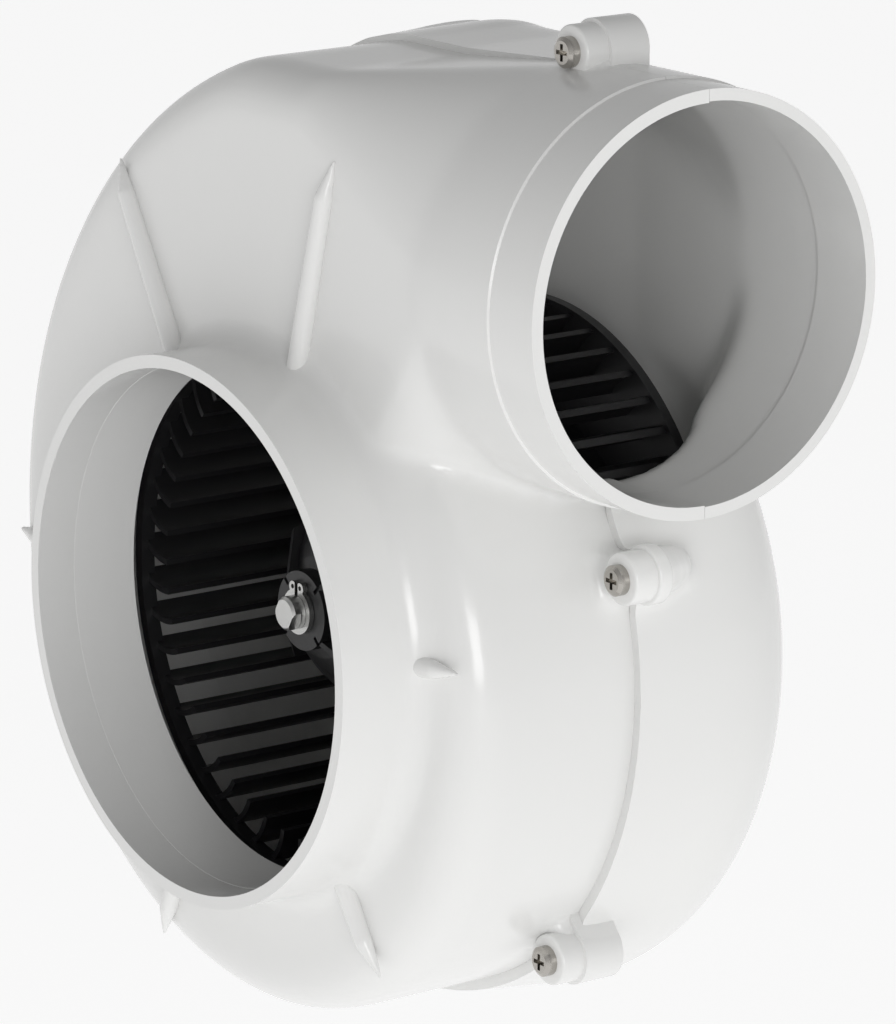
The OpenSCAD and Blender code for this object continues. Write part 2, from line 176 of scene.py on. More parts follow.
class Bench:
    """The modelling bench: operators that act on one object at a time."""

    @staticmethod
    def clear() -> None:
        """Leaves nothing selected."""
        if bpy.context.object is not None and bpy.context.object.mode != "OBJECT":
            bpy.ops.object.mode_set(mode="OBJECT")
        bpy.ops.object.select_all(action="DESELECT")

    @staticmethod
    def take(piece: bpy.types.Object) -> None:
        """Makes a piece the only selected and active one.

        Args:
            piece: The object to work on.
        """
        Bench.clear()
        piece.select_set(True)
        bpy.context.view_layer.objects.active = piece

    @staticmethod
    def fresh(name: str) -> bpy.types.Object:
        """Names the primitive just added and fixes its place into its mesh.

        Args:
            name: The object's name.

        Returns:
            The new object, at the origin.
        """
        piece = bpy.context.object
        piece.name = name
        Bench.take(piece)
        bpy.ops.object.transform_apply(location=True, rotation=True, scale=True)
        return piece

    @staticmethod
    @contextmanager
    def editing(piece: bpy.types.Object) -> Iterator[None]:
        """Opens edit mode on a piece, with vertices as what is selected.

        Args:
            piece: The object to edit.

        Yields:
            Nothing, while edit mode is open.
        """
        Bench.take(piece)
        bpy.ops.object.mode_set(mode="EDIT")
        bpy.ops.mesh.select_mode(type="VERT")
        yield
        bpy.ops.object.mode_set(mode="OBJECT")

    @staticmethod
    def pick(piece: bpy.types.Object, test: Callable[[Vector], bool]) -> None:
        """Selects the vertices that pass a test on their place.

        Args:
            piece: The object, in object mode.
            test: True for the vertices to select.
        """
        mesh = piece.data
        for part in (mesh.polygons, mesh.edges):
            for item in part:
                item.select = False
        for vertex in mesh.vertices:
            vertex.select = bool(test(vertex.co))

    @staticmethod
    def finish(piece: bpy.types.Object, kind: str, **settings: object) -> None:
        """Adds a modifier and applies it.

        Args:
            piece: The object.
            kind: The modifier's type.
            **settings: Values for the modifier.
        """
        Bench.take(piece)
        modifier = piece.modifiers.new(kind.title(), kind)
        for key, value in settings.items():
            setattr(modifier, key, value)
        bpy.ops.object.modifier_apply(modifier=modifier.name)

    @staticmethod
    def join(pieces: Sequence[bpy.types.Object], name: str) -> bpy.types.Object:
        """Joins pieces into one object.

        Args:
            pieces: The objects, the first of which stays.
            name: The joined object's name.

        Returns:
            The joined object.
        """
        Bench.clear()
        for piece in pieces:
            piece.select_set(True)
        bpy.context.view_layer.objects.active = pieces[0]
        if len(pieces) > 1:
            bpy.ops.object.join()
        pieces[0].name = name
        return pieces[0]

    @staticmethod
    def close(piece: bpy.types.Object) -> None:
        """Merges doubles, fills holes and turns the faces outwards.

        Args:
            piece: The object.
        """
        with Bench.editing(piece):
            bpy.ops.mesh.select_all(action="SELECT")
            bpy.ops.mesh.remove_doubles(threshold=NEAR)
            bpy.ops.mesh.select_all(action="SELECT")
            bpy.ops.mesh.fill_holes(sides=0)
            bpy.ops.mesh.select_all(action="SELECT")
            bpy.ops.mesh.normals_make_consistent(inside=False)

    @staticmethod
    def cut(piece: bpy.types.Object, place: Vector, normal: Vector, fill: bool = False) -> None:
        """Cuts a piece with a plane and drops what lies on the normal's side.

        Args:
            piece: The object.
            place: A point on the plane.
            normal: The plane's normal.
            fill: Whether the cut is closed with a face.
        """
        with Bench.editing(piece):
            bpy.ops.mesh.select_all(action="SELECT")
            bpy.ops.mesh.bisect(
                plane_co=place, plane_no=normal, clear_outer=True, use_fill=fill)

    @staticmethod
    def cylinder(
        name: str, radius: float, start: Sequence[float], end: Sequence[float],
        sides: int = 96, end_radius: float | None = None,
    ) -> bpy.types.Object:
        """Adds a closed cylinder or cone between two points, in millimetres.

        Args:
            name: The object's name.
            radius: The radius at the start.
            start: The centre of the first end.
            end: The centre of the second end.
            sides: The number of sides.
            end_radius: The radius at the end, where it differs.

        Returns:
            The new object.
        """
        a, b = Vector(start) * MM, Vector(end) * MM
        Bench.clear()
        bpy.ops.mesh.primitive_cone_add(
            vertices=sides, radius1=radius * MM,
            radius2=(radius if end_radius is None else end_radius) * MM,
            depth=(b - a).length, location=(a + b) / 2,
            rotation=(b - a).to_track_quat("Z", "Y").to_euler())
        return Bench.fresh(name)

    @staticmethod
    def combine(
        piece: bpy.types.Object, tool: bpy.types.Object, operation: str = "DIFFERENCE",
    ) -> None:
        """Cuts a tool out of a piece, or unites them, and removes the tool.

        Args:
            piece: The object that stays.
            tool: The object that cuts or is added.
            operation: DIFFERENCE or UNION.
        """
        Bench.finish(piece, "BOOLEAN", operation=operation, object=tool, solver="EXACT")
        bpy.data.objects.remove(tool, do_unlink=True)

    @staticmethod
    def blend(piece: bpy.types.Object, voxel: float, passes: int) -> None:
        """Rebuilds a piece as one skin and softens its corners.

        Args:
            piece: The object.
            voxel: The size of the new faces, in millimetres.
            passes: How many times it is smoothed.
        """
        Bench.finish(piece, "REMESH", mode="VOXEL", voxel_size=voxel * MM, adaptivity=0.0)
        Bench.finish(piece, "SMOOTH", factor=0.5, iterations=passes)

    @staticmethod
    def soften(piece: bpy.types.Object, width: float, segments: int, angle: float) -> None:
        """Rounds a piece's sharp edges.

        Args:
            piece: The object.
            width: The width of the rounding, in millimetres.
            segments: The number of faces across it.
            angle: The least angle of an edge that is rounded, in degrees.
        """
        Bench.finish(
            piece, "BEVEL", width=width * MM, segments=segments, limit_method="ANGLE",
            angle_limit=math.radians(angle))

    @staticmethod
    def smooth(piece: bpy.types.Object, angle: float) -> None:
        """Shades a piece smooth up to an angle between faces, in degrees."""
        Bench.take(piece)
        bpy.ops.object.shade_smooth_by_angle(angle=math.radians(angle))


@dataclass(frozen=True)
class MouldGrain:
    """The shader group for the skin of a surface: fine grain, and clouds of tone and wear."""

    name: str = "Surface skin"
    grain_detail: float = 3.0
    cloud_scale: float = 28.0
    cloud_detail: float = 4.0
    cloud_low: float = 0.3
    cloud_high: float = 0.7

    def group(self) -> bpy.types.ShaderNodeTree:
        """Returns the group, built at its first use.

        Returns:
            A node group with colour, roughness and height outputs.
        """
        made = bpy.data.node_groups.get(self.name)
        if made is not None:
            return made
        tree = bpy.data.node_groups.new(self.name, "ShaderNodeTree")
        sockets = tree.interface
        sockets.new_socket("Vector", in_out="INPUT", socket_type="NodeSocketVector")
        for label in ("Scale", "Tone", "Roughness", "Wear"):
            sockets.new_socket(label, in_out="INPUT", socket_type="NodeSocketFloat")
        sockets.new_socket("Base", in_out="INPUT", socket_type="NodeSocketColor")
        sockets.new_socket("Color", in_out="OUTPUT", socket_type="NodeSocketColor")
        sockets.new_socket("Roughness", in_out="OUTPUT", socket_type="NodeSocketFloat")
        sockets.new_socket("Height", in_out="OUTPUT", socket_type="NodeSocketFloat")
        source = tree.nodes.new("NodeGroupInput")
        sink = tree.nodes.new("NodeGroupOutput")
        link = tree.links.new

        grain = tree.nodes.new("ShaderNodeTexNoise")
        grain.inputs["Detail"].default_value = self.grain_detail
        link(source.outputs["Vector"], grain.inputs["Vector"])
        link(source.outputs["Scale"], grain.inputs["Scale"])
        cloud = tree.nodes.new("ShaderNodeTexNoise")
        cloud.inputs["Scale"].default_value = self.cloud_scale
        cloud.inputs["Detail"].default_value = self.cloud_detail
        link(source.outputs["Vector"], cloud.inputs["Vector"])

        shade = tree.nodes.new("ShaderNodeMapRange")
        link(cloud.outputs["Fac"], shade.inputs["Value"])
        shade.inputs["From Min"].default_value = self.cloud_low
        shade.inputs["From Max"].default_value = self.cloud_high
        less = tree.nodes.new("ShaderNodeMath")
        less.operation = "SUBTRACT"
        less.inputs[0].default_value = 1.0
        link(source.outputs["Tone"], less.inputs[1])
        link(less.outputs[0], shade.inputs["To Min"])
        shade.inputs["To Max"].default_value = 1.0
        tint = tree.nodes.new("ShaderNodeVectorMath")
        tint.operation = "SCALE"
        link(source.outputs["Base"], tint.inputs[0])
        link(shade.outputs["Result"], tint.inputs["Scale"])
        link(tint.outputs["Vector"], sink.inputs["Color"])

        rub = tree.nodes.new("ShaderNodeMath")
        rub.operation = "MULTIPLY_ADD"
        link(cloud.outputs["Fac"], rub.inputs[0])
        link(source.outputs["Wear"], rub.inputs[1])
        link(source.outputs["Roughness"], rub.inputs[2])
        link(rub.outputs[0], sink.inputs["Roughness"])
        link(grain.outputs["Fac"], sink.inputs["Height"])
        return tree


@dataclass(frozen=True)
class Finish:
    """One finish, given by its colour and the skin of its surface."""

    name: str
    color: tuple[float, float, float]
    roughness: float
    metallic: float = 0.0
    tone: float = 0.03
    wear: float = 0.06
    grain: float = 900.0
    bump: float = 0.0002
    bump_strength: float = 0.35
    coat: float = 0.0
    coat_roughness: float = 0.08
    specular: float = 0.5

    def material(self) -> bpy.types.Material:
        """Builds the finish's material.

        Returns:
            The material.
        """
        made = bpy.data.materials.new(self.name)
        made.use_nodes = True
        nodes, link = made.node_tree.nodes, made.node_tree.links.new
        shader = nodes["Principled BSDF"]
        place = nodes.new("ShaderNodeTexCoord")
        skin = nodes.new("ShaderNodeGroup")
        skin.node_tree = MouldGrain().group()
        skin.inputs["Scale"].default_value = self.grain
        skin.inputs["Tone"].default_value = self.tone
        skin.inputs["Roughness"].default_value = self.roughness
        skin.inputs["Wear"].default_value = self.wear
        skin.inputs["Base"].default_value = (*self.color, 1.0)
        link(place.outputs["Object"], skin.inputs["Vector"])
        link(skin.outputs["Color"], shader.inputs["Base Color"])
        link(skin.outputs["Roughness"], shader.inputs["Roughness"])
        bump = nodes.new("ShaderNodeBump")
        bump.inputs["Strength"].default_value = self.bump_strength
        bump.inputs["Distance"].default_value = self.bump
        link(skin.outputs["Height"], bump.inputs["Height"])
        link(bump.outputs["Normal"], shader.inputs["Normal"])
        shader.inputs["Metallic"].default_value = self.metallic
        shader.inputs["Specular IOR Level"].default_value = self.specular
        shader.inputs["Coat Weight"].default_value = self.coat
        shader.inputs["Coat Roughness"].default_value = self.coat_roughness
        return made


FINISHES: dict[str, Finish] = {
    "white_shell": Finish(
        "Glossy white moulding", (0.79, 0.79, 0.78), 0.2, tone=0.015, wear=0.05,
        grain=700.0, bump=0.00005, coat=0.2),
    "black_nylon": Finish(
        "Satin black nylon", (0.012, 0.012, 0.013), 0.3, tone=0.2, wear=0.12,
        grain=1500.0, bump=0.00006),
    "stainless": Finish(
        "Stainless fastener", (0.46, 0.44, 0.41), 0.2, metallic=1.0, bump=0.00003),
    "spring_steel": Finish(
        "Bright spring steel", (0.56, 0.56, 0.55), 0.24, metallic=1.0, bump=0.00003),
    "steel": Finish("Ground steel", (0.58, 0.58, 0.57), 0.26, metallic=1.0, grain=1600.0),
    "zinc_steel": Finish(
        "Zinc-plated steel", (0.55, 0.56, 0.57), 0.34, metallic=1.0, tone=0.1),
    "brass": Finish("Turned brass", (0.72, 0.52, 0.22), 0.26, metallic=1.0, tone=0.08),
    "copper": Finish("Enamelled copper", (0.72, 0.33, 0.16), 0.3, metallic=1.0, tone=0.12),
    "ferrite": Finish("Dark ferrite", (0.05, 0.05, 0.055), 0.55, tone=0.15),
    "carbon": Finish("Pressed carbon", (0.02, 0.02, 0.02), 0.5, tone=0.1),
    "fibre": Finish("Pressed fibre", (0.55, 0.47, 0.36), 0.7, tone=0.15),
    "black_rubber": Finish("Black rubber", (0.025, 0.025, 0.025), 0.65, tone=0.15),
}


@dataclass(frozen=True)
class LugSizes:
    """Sizes of a screw lug and of the web and tail that tie it to the shell, in millimetres."""

    radius: float = 4.8
    lip: float = 0.7  # how far the rear half stands out round the front half
    front_y: float = 48.8
    back_y: float = 62.0
    wrap: float = 1.6  # how far the rear half reaches over the front half
    faired_cut: float = 5.5  # how much shorter a faired lug is
    edge: float = 0.5
    cheek: float = 6.0  # how far the flat sides reach towards the shell
    cheek_inset: float = 0.05
    cheek_slack: float = 0.01
    web: float = 12.0
    web_share: float = 1.75  # the web's width, as a share of the lug's radius
    web_over: float = 2.0  # how far the web reaches past the seam
    web_front_inset: float = 2.2
    web_back_inset: float = 1.2
    web_faired_inset: float = 4.5
    tail: float = 11.0
    tail_in: float = 5.5  # how far the tail leans towards the shell
    tail_flare: float = 0.9
    tail_tip_r: float = 3.6


@dataclass(frozen=True)
class RibSizes:
    """Sizes of a rib on the front face, in millimetres."""

    foot_r: float = 2.1
    neck_r: float = 1.75
    tip_r: float = 0.3
    root: float = 0.2  # how far the foot sits inside the collar's wall
    sink: float = 0.9  # how far the axis stands proud of the face
    tip_sink: float = 1.0  # how far the tip dips from the axis
    point: float = 7.0
    shortest: float = 12.0  # a shorter rib is divided as one of this length
    voxel: float = 0.45
    passes: int = 4


@dataclass(frozen=True)
class CollarSizes:
    """Sizes of the collar's foot and of the lip that leads the air in, in millimetres."""

    start_y: float = -2.0
    end_y: float = 24.0
    foot_tuck: float = 0.5
    foot_y: float = 14.2
    foot_end_y: float = 19.0
    foot_end_r: float = 55.0
    lip_start_y: float = 8.0
    lip_y: float = 21.1
    lip_draft: float = 0.5


@dataclass(frozen=True)
class BackSizes:
    """Sizes of the motor's seat and of the mounting bosses, in millimetres.

    Each boss row is its place along X and how far its foot sinks into the shell.
    """

    seat_r: float = 38.0
    seat_over: float = 1.5
    seat_start_y: float = 90.9
    seat_y: float = 94.0
    seat_bore_r: float = 23.2
    seat_bore_y: tuple[float, float] = (88.0, 99.0)
    recess_y: float = 84.0
    recess_past: float = 8.0
    boss_rows: tuple[tuple[float, float], ...] = ((-60, 5), (-10, 1.2))
    boss_z: tuple[float, float] = (-44, 44)
    boss_r: float = 6.5
    boss_end_y: float = 114.0
    boss_edge: float = 0.4
    insert_r: float = 3.6
    insert_y: float = 102.0


@dataclass
class Shell:
    """One half of the housing, drawn as a smooth moulding of even wall."""

    half: Half
    sizes: VoluteSizes = VoluteSizes()
    lugs: LugSizes = LugSizes()
    ribs: RibSizes = RibSizes()
    collar: CollarSizes = CollarSizes()
    back: BackSizes = BackSizes()
    voxel: float = 1.25
    passes: int = 14
    lap: float = 2.0  # how far the front shell reaches under the rear one
    over: float = 9.0  # how far a shell is drawn past the seam before it is cut there
    waist_tuck: float = 0.3  # how far inside the full radius the waist of the section lies
    waist_drop: float = 3.0  # how far in front of the rear fillet the waist lies
    core: tuple[float, float, float] = (2.0, -2.0, 16.0)  # x, z and radius of the plug
    ring_w: float = 0.35  # the width of the slope where the spout steps down
    ring_edge: float = 0.2
    snap: float = 1.5  # how far off its true radius a wall is still brought back to it
    snap_start: float = 5.0
    snap_fade: float = 4.0
    snap_collar_y: float = 12.0
    spout_trim: float = 0.08  # how far in front of the seam the front spout ends
    spout_trim_start: float = 4.0
    rear_thinner: float = 0.25
    smooth_angle: float = 32.0

    @property
    def front(self) -> bool:
        """Whether this is the front shell."""
        return self.half is Half.FRONT

    def section(self, radius: float, bulge: float) -> bpy.types.Object:
        """Draws the wall's half section as a flat face, radius along X and depth along Y.

        Args:
            radius: The scroll's nominal radius there, in millimetres.
            bulge: How far the rear shell swells past that radius.

        Returns:
            The section.
        """
        s = self.sizes
        r = radius - s.front_step if self.front else radius + bulge
        low = s.face_y if self.front else s.seam_y - self.over
        high = s.seam_y + self.over if self.front else s.back_y
        fillet = s.front_fillet if self.front else s.rear_fillet
        Bench.clear()
        bpy.ops.mesh.primitive_plane_add(
            size=1.0, location=(r / 2 * MM, (low + high) / 2 * MM, 0))
        bpy.context.object.scale = (r * MM, (high - low) * MM, 1)
        face = Bench.fresh("section")
        outer = r * MM - NEAR
        bottom, top = (low + CORNER) * MM, (high - CORNER) * MM
        if self.front:
            Bench.pick(face, lambda co: co.x > outer and co.y < bottom)
        else:
            Bench.pick(face, lambda co: co.x > outer)
            with Bench.editing(face):
                bpy.ops.mesh.subdivide(number_cuts=1)
            waist_r = (radius + bulge - self.waist_tuck) * MM
            waist_y = (s.back_y - s.rear_fillet - self.waist_drop) * MM
            for vertex in face.data.vertices:
                if vertex.co.x > outer and vertex.co.y < bottom:
                    vertex.co.x = radius * MM
                elif vertex.co.x > outer and vertex.co.y < top:
                    vertex.co.xy = (waist_r, waist_y)
            Bench.pick(face, lambda co: co.x > outer and co.y > top)
        with Bench.editing(face):
            bpy.ops.mesh.bevel(offset=fillet * MM, segments=12, affect="VERTICES")
        return face

    def sweep(self, arc: Arc) -> bpy.types.Object:
        """Spins the section through one arc of the scroll.

        Args:
            arc: The arc.

        Returns:
            A closed wedge.
        """
        wedge = self.section(arc.radius, arc.bulge)
        centre = Vector((arc.x, 0, arc.z)) * MM
        turn = math.radians(arc.start)
        for vertex in wedge.data.vertices:
            r, y = vertex.co.x, vertex.co.y
            vertex.co = centre + Vector((r * math.cos(turn), y, -r * math.sin(turn)))
        with Bench.editing(wedge):
            bpy.ops.mesh.select_all(action="SELECT")
            bpy.ops.mesh.spin(
                steps=max(FEWEST_STEPS, round(arc.sweep / STEP_ANGLE)),
                angle=-math.radians(arc.sweep), center=centre, axis=(0, 1, 0))
        Bench.close(wedge)
        return wedge

    def duct_section(self, x: float) -> bpy.types.Object:
        """Draws the section of the duct that leads from the scroll to the spout.

        Args:
            x: Its place along X, in millimetres.

        Returns:
            The section.
        """
        duct = self.sizes.duct
        face = self.section(duct.radius, duct.bulge)
        for vertex in face.data.vertices:
            r, y = vertex.co.x, vertex.co.y
            vertex.co = Vector((x * MM, y, duct.z * MM + r))
        return face

    def throat(self) -> list[bpy.types.Object]:
        """Draws the duct and its loft to the round spout.

        Returns:
            Closed hulls.
        """
        s = self.sizes
        ring = Bench.cylinder(
            "ring", s.outlet_r, (s.loft_x, s.seam_y, s.outlet_z),
            (s.loft_x + OVERLAP, s.seam_y, s.outlet_z))
        hulls = [
            Bench.join(
                [self.duct_section(s.duct_x - OVERLAP), self.duct_section(s.duct.x)], "duct"),
            Bench.join([self.duct_section(s.duct.x - OVERLAP / 2), ring], "throat"),
        ]
        side = 1 if self.front else -1
        edge = Vector((0, (s.seam_y + side * self.over) * MM, 0))
        for hull in hulls:
            with Bench.editing(hull):
                bpy.ops.mesh.select_all(action="SELECT")
                bpy.ops.mesh.convex_hull()
            Bench.close(hull)
            Bench.cut(hull, edge, Vector((0, side, 0)), fill=True)
        return hulls

    def block(
        self, name: str, place: Lug, span: tuple[float, float], length: float, width: float,
    ) -> bpy.types.Object:
        """Adds a block that reaches from a lug's screw towards the shell.

        Args:
            name: The block's name.
            place: Where the lug stands.
            span: Where the block starts and ends along Y, in millimetres.
            length: How far it reaches.
            width: Its width.

        Returns:
            The block.
        """
        low, high = span
        middle = Vector((place.x, (low + high) / 2, place.z)) + place.towards() * (length / 2)
        Bench.clear()
        bpy.ops.mesh.primitive_cube_add(
            size=1.0, rotation=(0, math.radians(place.inward), 0), location=middle * MM)
        bpy.context.object.scale = (length * MM, (high - low) * MM, width * MM)
        return Bench.fresh(name)

    def web(self, place: Lug) -> list[bpy.types.Object]:
        """Models the soft web, and on a faired lug the tail, that ties a lug to the shell.

        Args:
            place: Where the lug stands.

        Returns:
            Closed solids for the blend.
        """
        s, lug = self.sizes, self.lugs
        inset = lug.web_faired_inset if place.faired else lug.web_back_inset
        if self.front:
            span = (lug.front_y + lug.web_front_inset, s.seam_y + lug.web_over)
        else:
            span = (s.seam_y - lug.web_over, lug.back_y - inset)
        solids = [self.block("web", place, span, lug.web, lug.web_share * lug.radius)]
        if place.faired and not self.front:
            start = Vector((place.x, s.seam_y - lug.web_over, place.z))
            end = Vector((place.x, s.seam_y + lug.tail, place.z)) + place.towards() * lug.tail_in
            solids.append(Bench.cylinder(
                "tail", lug.radius + lug.tail_flare, start, end, sides=TAIL_SIDES,
                end_radius=lug.tail_tip_r))
        return solids

    def body(self) -> bpy.types.Object:
        """Blends the scroll, the throat, the spout and what stands on the shell.

        Returns:
            The closed, smooth outer form.
        """
        s, collar = self.sizes, self.collar
        parts = [self.sweep(arc) for arc in (*s.arcs, s.chamber)]
        parts += self.throat()
        parts.append(Bench.cylinder(
            "spout", s.outlet_r + s.spout_step, (s.loft_x - OVERLAP, s.seam_y, s.outlet_z),
            (s.outlet_x + 2 * OVERLAP, s.seam_y, s.outlet_z), sides=TUBE_SIDES))
        x, z, radius = self.core
        parts.append(Bench.cylinder(
            "middle", radius, (x, s.face_y + OVERLAP, z), (x, s.back_y - OVERLAP, z)))
        for place in s.lugs:
            parts += self.web(place)
        if self.front:
            parts.append(Bench.cylinder(
                "collar", s.inlet_r, (0, collar.start_y, 0), (0, collar.end_y, 0),
                sides=TUBE_SIDES))
            parts.append(Bench.cylinder(
                "foot", s.inlet_r - collar.foot_tuck, (0, collar.foot_y, 0),
                (0, collar.foot_end_y, 0), sides=TUBE_SIDES, end_radius=collar.foot_end_r))
        form = Bench.join(parts, "form")
        Bench.blend(form, self.voxel, self.passes)
        return form

    def true_tubes(self, form: bpy.types.Object) -> None:
        """Brings the spout's and the collar's walls to their true radius.

        Args:
            form: The blended form.
        """
        s = self.sizes
        for x in (s.step_x, s.step_x + self.ring_w):
            with Bench.editing(form):
                bpy.ops.mesh.select_all(action="SELECT")
                bpy.ops.mesh.bisect(plane_co=(x * MM, 0, 0), plane_no=(1, 0, 0))
        start = s.loft_x + self.snap_start
        for vertex in form.data.vertices:
            co = vertex.co / MM
            y, z = co.y - s.seam_y, co.z - s.outlet_z
            out = math.hypot(y, z)
            if co.x > start and abs(out - s.outlet_r) < self.snap:
                behind = co.x < s.step_x + self.ring_edge
                true = s.outlet_r + (s.spout_step if behind else 0)
                share = min(1, (co.x - start) / self.snap_fade)
                scale = 1 + share * (true / out - 1)
                vertex.co.yz = ((s.seam_y + y * scale) * MM, (s.outlet_z + z * scale) * MM)
            out = math.hypot(co.x, co.z)
            if co.y < self.snap_collar_y and abs(out - s.inlet_r) < self.snap:
                vertex.co.xz = (co.x * s.inlet_r / out * MM, co.z * s.inlet_r / out * MM)

    def lug(self, place: Lug) -> bpy.types.Object:
        """Models the crisp boss of one screw lug.

        Args:
            place: Where the lug stands.

        Returns:
            The boss.
        """
        s, lug = self.sizes, self.lugs
        if self.front:
            r, low, high = lug.radius, lug.front_y, s.seam_y + OVERLAP
        else:
            r, low = lug.radius + lug.lip, s.seam_y - lug.wrap
            high = lug.back_y - (lug.faired_cut if place.faired else 0)
        post = Bench.cylinder(
            "post", r, (place.x, low, place.z), (place.x, high, place.z), sides=BOSS_SIDES)
        if not self.front and not place.faired:
            span = (low + lug.cheek_slack, high - lug.cheek_slack)
            cheek = self.block("cheek", place, span, lug.cheek, 2 * (r - lug.cheek_inset))
            Bench.combine(post, cheek, "UNION")
        Bench.soften(post, lug.edge, segments=3, angle=40)
        return post

    def rib(self, place: Rib) -> bpy.types.Object:
        """Models one low stiffening rib that fades out across the front face.

        Args:
            place: The rib's direction and reach.

        Returns:
            The rib.
        """
        s, size = self.sizes, self.ribs
        turn = math.radians(place.angle)
        out = Vector((math.cos(turn), 0, math.sin(turn)))
        base = Vector((0, s.face_y - size.sink, 0))
        foot, tip = out * (s.inlet_r - size.root), out * place.reach
        length = max(size.shortest, place.reach - s.inlet_r)
        neck = foot.lerp(tip, 1 - size.point / length)
        rib = Bench.cylinder(
            "rib", size.foot_r, foot + base, neck + base, sides=RIB_SIDES,
            end_radius=size.neck_r)
        point = Bench.cylinder(
            "point", size.neck_r, neck + base, tip + base + Vector((0, size.tip_sink, 0)),
            sides=RIB_SIDES, end_radius=size.tip_r)
        rib = Bench.join([rib, point], "rib")
        Bench.blend(rib, size.voxel, size.passes)
        return rib

    def lip(self) -> bpy.types.Object:
        """Models the lip at the collar's inner end.

        Returns:
            The lip.
        """
        s, collar = self.sizes, self.collar
        lip = Bench.cylinder(
            "lip", s.inlet_r - collar.foot_tuck, (0, collar.lip_start_y, 0),
            (0, collar.lip_y, 0), sides=TUBE_SIDES)
        bore = s.inlet_r - s.wall
        Bench.combine(lip, Bench.cylinder(
            "lip bore", bore, (0, collar.lip_start_y - OVERLAP, 0),
            (0, collar.lip_y + OVERLAP, 0), sides=TUBE_SIDES,
            end_radius=bore - collar.lip_draft))
        return lip

    def seat(self) -> bpy.types.Object:
        """Models the flat ring that the motor's flange stands on.

        Returns:
            The seat.
        """
        back = self.back
        seat = Bench.cylinder(
            "seat", back.seat_r + back.seat_over, (0, back.seat_start_y, 0),
            (0, back.seat_y, 0))
        start, end = back.seat_bore_y
        Bench.combine(seat, Bench.cylinder(
            "seat bore", back.seat_bore_r, (0, start, 0), (0, end, 0)))
        return seat

    def bosses(self) -> list[bpy.types.Object]:
        """Models the mounting bosses with the bores for their inserts.

        Returns:
            The bosses.
        """
        back = self.back
        solids = []
        for x, sink in back.boss_rows:
            for z in back.boss_z:
                boss = Bench.cylinder(
                    "boss", back.boss_r, (x, self.sizes.back_y - sink, z),
                    (x, back.boss_end_y, z), sides=BOSS_SIDES)
                Bench.combine(boss, Bench.cylinder(
                    "insert bore", back.insert_r, (x, back.insert_y, z),
                    (x, back.boss_end_y + OVERLAP, z), sides=BOSS_SIDES))
                Bench.soften(boss, back.boss_edge, segments=2, angle=30)
                solids.append(boss)
        return solids

    def extras(self) -> list[bpy.types.Object]:
        """Models what stands on the shell with crisp edges.

        Returns:
            The solids.
        """
        solids = [self.lug(place) for place in self.sizes.lugs]
        if self.front:
            solids += [self.rib(place) for place in self.sizes.ribs]
            solids.append(self.lip())
        else:
            solids.append(self.seat())
            solids += self.bosses()
        return solids

    def trim(self, form: bpy.types.Object) -> None:
        """Opens the form at the seam, the collar and the spout.

        Args:
            form: The blended form.
        """
        s = self.sizes
        if self.front:
            Bench.cut(form, Vector((0, (s.seam_y + self.lap) * MM, 0)), Vector((0, 1, 0)))
            Bench.cut(form, Vector((0, 0, 0)), Vector((0, -1, 0)))
            start, reach = s.loft_x - self.spout_trim_start, s.outlet_r + self.snap
            Bench.pick(form, lambda co: co.x > start * MM and math.hypot(
                co.y / MM - s.seam_y, co.z / MM - s.outlet_z) < reach)
            with Bench.editing(form):
                bpy.ops.mesh.bisect(
                    plane_co=(0, (s.seam_y - self.spout_trim) * MM, 0), plane_no=(0, 1, 0),
                    clear_outer=True)
        else:
            Bench.cut(form, Vector((0, s.seam_y * MM, 0)), Vector((0, -1, 0)))
        Bench.cut(form, Vector((s.outlet_x * MM, 0, 0)), Vector((1, 0, 0)))

    def build(self) -> bpy.types.Object:
        """Models the whole shell.

        Returns:
            The finished object, at the origin.
        """
        s, back = self.sizes, self.back
        form = self.body()
        self.true_tubes(form)
        self.trim(form)
        wall = s.wall if self.front else s.wall - self.rear_thinner
        Bench.finish(
            form, "SOLIDIFY", thickness=wall * MM, offset=-1.0, use_even_offset=True,
            use_rim=True)
        if not self.front:
            Bench.combine(form, Bench.cylinder(
                "seat recess", back.seat_r, (0, back.recess_y, 0),
                (0, s.back_y + back.recess_past, 0), sides=TUBE_SIDES))
        shell = Bench.join([form, *self.extras()], f"{self.half.value}_shell")
        Bench.smooth(shell, self.smooth_angle)
        return shell


